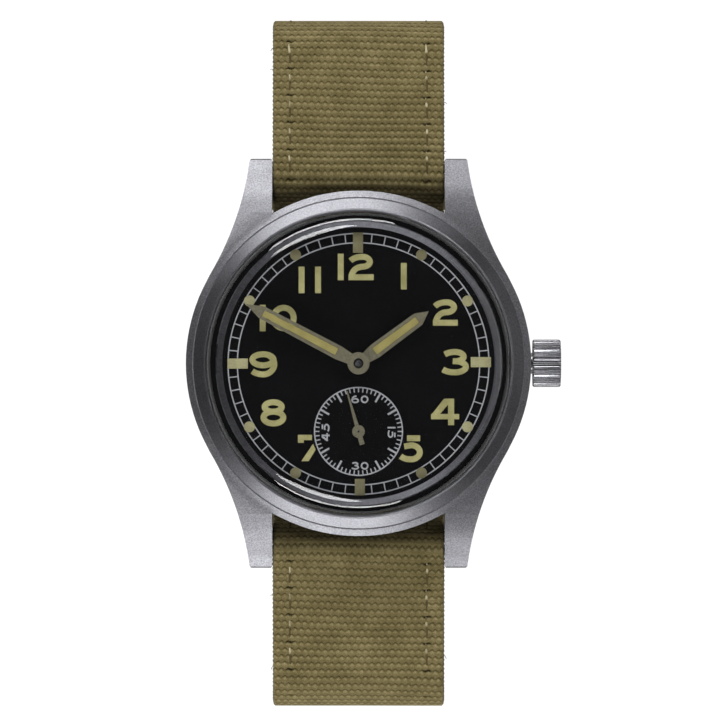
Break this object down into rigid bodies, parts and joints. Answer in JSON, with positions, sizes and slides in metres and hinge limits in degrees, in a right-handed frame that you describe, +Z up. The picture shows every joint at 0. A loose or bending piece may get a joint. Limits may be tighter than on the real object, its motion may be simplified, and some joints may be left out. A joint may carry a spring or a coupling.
{
  "type": "field watch",
  "caption": "Round steel field watch with small seconds, hand-wound train and crown, on a one-piece canvas strap buckled in a closed loop.",
  "frame": {"origin": "on the dial's axis, in the plane that the buckled strap stands on, at the middle of the fixed keeper's outer face", "axes": "+Z up through the dial, which faces +Z; +X to 3 o'clock and the crown; +Y to 12 o'clock"},
  "size_m": [0.0392, 0.072, 0.042],
  "materials": {
    "case_steel": "bead-blasted, satin",
    "back_steel": "turned satin",
    "acrylic": "clear polished acrylic",
    "seal_rubber": "matt black",
    "dial_black": "matt black lacquer with pale print",
    "hand_paint": "satin grey-cream lacquer",
    "lume": "aged cream luminous fill",
    "canvas": "khaki cotton canvas, stitched edges",
    "buckle_steel": "bead-blasted, satin",
    "spacer_plastic": "moulded",
    "gilt_brass": "frosted gilt",
    "wheel_brass": "polished",
    "polished_steel": "polished",
    "ruby": "polished synthetic ruby"
  },
  "bodies": {
    "case": {"mid_case": "case_steel", "bezel": "case_steel", "crystal": "acrylic", "crystal_gasket": "seal_rubber", "dial": "dial_black", "movement_ring": "spacer_plastic", "case_back": "back_steel", "case_back_gasket": "seal_rubber", "crown_tube": "polished_steel", "upper_bar_sleeve": "polished_steel", "lower_bar_sleeve": "polished_steel", "strap": "canvas", "fixed_keeper": "canvas", "main_plate": "gilt_brass", "barrel_bridge": "gilt_brass", "train_bridge": "gilt_brass", "balance_cock": "gilt_brass", "pallet_bridge": "gilt_brass", "bridge_screws": "polished_steel", "jewels": "ruby"},
    "upper_right_pin": {"upper_right_bar_pin": "polished_steel"},
    "upper_left_pin": {"upper_left_bar_pin": "polished_steel"},
    "lower_right_pin": {"lower_right_bar_pin": "polished_steel"},
    "lower_left_pin": {"lower_left_bar_pin": "polished_steel"},
    "buckle": {"buckle_frame": "buckle_steel", "buckle_bar": "buckle_steel"},
    "tongue": {"buckle_tongue": "buckle_steel"},
    "keeper": {"sliding_keeper": "canvas"},
    "winding_clutch": {"winding_pinion": "polished_steel", "sliding_pinion": "polished_steel"},
    "crown_stem": {"crown": "case_steel", "winding_stem": "polished_steel", "crown_gasket": "seal_rubber"},
    "crown_wheel_body": {"crown_wheel": "polished_steel"},
    "ratchet": {"ratchet_wheel": "polished_steel", "barrel_arbor": "polished_steel"},
    "click_body": {"click": "polished_steel"},
    "barrel_body": {"barrel": "wheel_brass", "mainspring": "polished_steel"},
    "minute_train": {"centre_wheel": "wheel_brass", "centre_pinion": "polished_steel", "cannon_pinion": "polished_steel", "minute_hand": "hand_paint", "minute_hand_fill": "lume"},
    "third_train": {"third_wheel": "wheel_brass", "third_pinion": "polished_steel"},
    "seconds_train": {"fourth_wheel": "wheel_brass", "fourth_pinion": "polished_steel", "seconds_hand": "hand_paint"},
    "escape_train": {"escape_wheel": "polished_steel", "escape_pinion": "polished_steel"},
    "pallet": {"pallet_fork": "polished_steel"},
    "balance": {"balance_wheel": "wheel_brass", "balance_staff": "polished_steel", "hairspring": "polished_steel"},
    "minute_wheel_body": {"minute_wheel": "wheel_brass"},
    "hour_train": {"hour_wheel": "wheel_brass", "hour_hand": "hand_paint", "hour_hand_fill": "lume"}
  },
  "joints": [
    {"name": "crown_turn", "type": "hinge", "parent": "case", "child": "winding_clutch", "pos_m": [0.0107, 0, 0.0346], "axis": [1, 0, 0], "continuous": true},
    {"name": "crown_pull", "type": "slide", "parent": "winding_clutch", "child": "crown_stem", "axis": [1, 0, 0], "range_m": [0, 0.001]},
    {"name": "crown_wheel_turn", "type": "hinge", "parent": "case", "child": "crown_wheel_body", "pos_m": [0.00782, 0, 0.03405], "axis": [0, 0, -1], "continuous": true},
    {"name": "ratchet_turn", "type": "hinge", "parent": "case", "child": "ratchet", "pos_m": [0.00313, 0.00547, 0.03405], "axis": [0, 0, -1], "continuous": true},
    {"name": "click_rock", "type": "hinge", "parent": "case", "child": "click_body", "pos_m": [-0.002, 0.0052, 0.03405], "axis": [0, 0, -1], "range_deg": [0, 8], "stiffness_Nm_per_rad": 0.000001},
    {"name": "minute_turn", "type": "hinge", "parent": "case", "child": "minute_train", "pos_m": [0, 0, 0.03405], "axis": [0, 0, -1], "continuous": true},
    {"name": "barrel_turn", "type": "hinge", "parent": "case", "child": "barrel_body", "pos_m": [0.00313, 0.00547, 0.03405], "axis": [0, 0, -1], "continuous": true},
    {"name": "third_turn", "type": "hinge", "parent": "case", "child": "third_train", "pos_m": [0.00352, -0.0041, 0.03405], "axis": [0, 0, -1], "continuous": true},
    {"name": "seconds_turn", "type": "hinge", "parent": "case", "child": "seconds_train", "pos_m": [0, -0.00705, 0.03405], "axis": [0, 0, -1], "continuous": true},
    {"name": "escape_turn", "type": "hinge", "parent": "case", "child": "escape_train", "pos_m": [-0.004, -0.00474, 0.03405], "axis": [0, 0, -1], "continuous": true},
    {"name": "pallet_rock", "type": "hinge", "parent": "case", "child": "pallet", "pos_m": [-0.006, -0.00359, 0.03405], "axis": [0, 0, -1], "range_deg": [-5, 5]},
    {"name": "balance_swing", "type": "hinge", "parent": "case", "child": "balance", "pos_m": [-0.00894, -0.00189, 0.03405], "axis": [0, 0, -1], "range_deg": [-270, 270], "stiffness_Nm_per_rad": 0.00000008},
    {"name": "minute_wheel_turn", "type": "hinge", "parent": "case", "child": "minute_wheel_body", "pos_m": [0.0029, 0.00135, 0.03405], "axis": [0, 0, -1], "continuous": true},
    {"name": "hour_turn", "type": "hinge", "parent": "case", "child": "hour_train", "pos_m": [0, 0, 0.03405], "axis": [0, 0, -1], "continuous": true},
    {"name": "buckle_tilt", "type": "hinge", "parent": "case", "child": "buckle", "pos_m": [0, -0.006, 0.00485], "axis": [1, 0, 0], "range_deg": [0, 6]},
    {"name": "tongue_tilt", "type": "hinge", "parent": "buckle", "child": "tongue", "pos_m": [0, -0.006, 0.00485], "axis": [1, 0, 0], "range_deg": [0, 4]},
    {"name": "keeper_slide", "type": "slide", "parent": "case", "child": "keeper", "axis": [0, 1, 0], "range_m": [-0.003, 0.004]},
    {"name": "upper_right_pin_press", "type": "slide", "parent": "case", "child": "upper_right_pin", "axis": [-1, 0, 0], "range_m": [0, 0.0012], "stiffness_N_per_m": 1500, "springref_m": -0.001},
    {"name": "upper_left_pin_press", "type": "slide", "parent": "case", "child": "upper_left_pin", "axis": [1, 0, 0], "range_m": [0, 0.0012], "stiffness_N_per_m": 1500, "springref_m": -0.001},
    {"name": "lower_right_pin_press", "type": "slide", "parent": "case", "child": "lower_right_pin", "axis": [-1, 0, 0], "range_m": [0, 0.0012], "stiffness_N_per_m": 1500, "springref_m": -0.001},
    {"name": "lower_left_pin_press", "type": "slide", "parent": "case", "child": "lower_left_pin", "axis": [1, 0, 0], "range_m": [0, 0.0012], "stiffness_N_per_m": 1500, "springref_m": -0.001}
  ],
  "couplings": [
    {"joint": "crown_wheel_turn", "follows": "crown_turn", "ratio": -0.625},
    {"joint": "ratchet_turn", "follows": "crown_turn", "ratio": 0.41667},
    {"joint": "barrel_turn", "follows": "minute_turn", "ratio": -0.16667},
    {"joint": "third_turn", "follows": "minute_turn", "ratio": -8},
    {"joint": "seconds_turn", "follows": "minute_turn", "ratio": 60},
    {"joint": "escape_turn", "follows": "minute_turn", "ratio": -600},
    {"joint": "minute_wheel_turn", "follows": "minute_turn", "ratio": -0.33333},
    {"joint": "hour_turn", "follows": "minute_turn", "ratio": 0.083333}
  ]
}
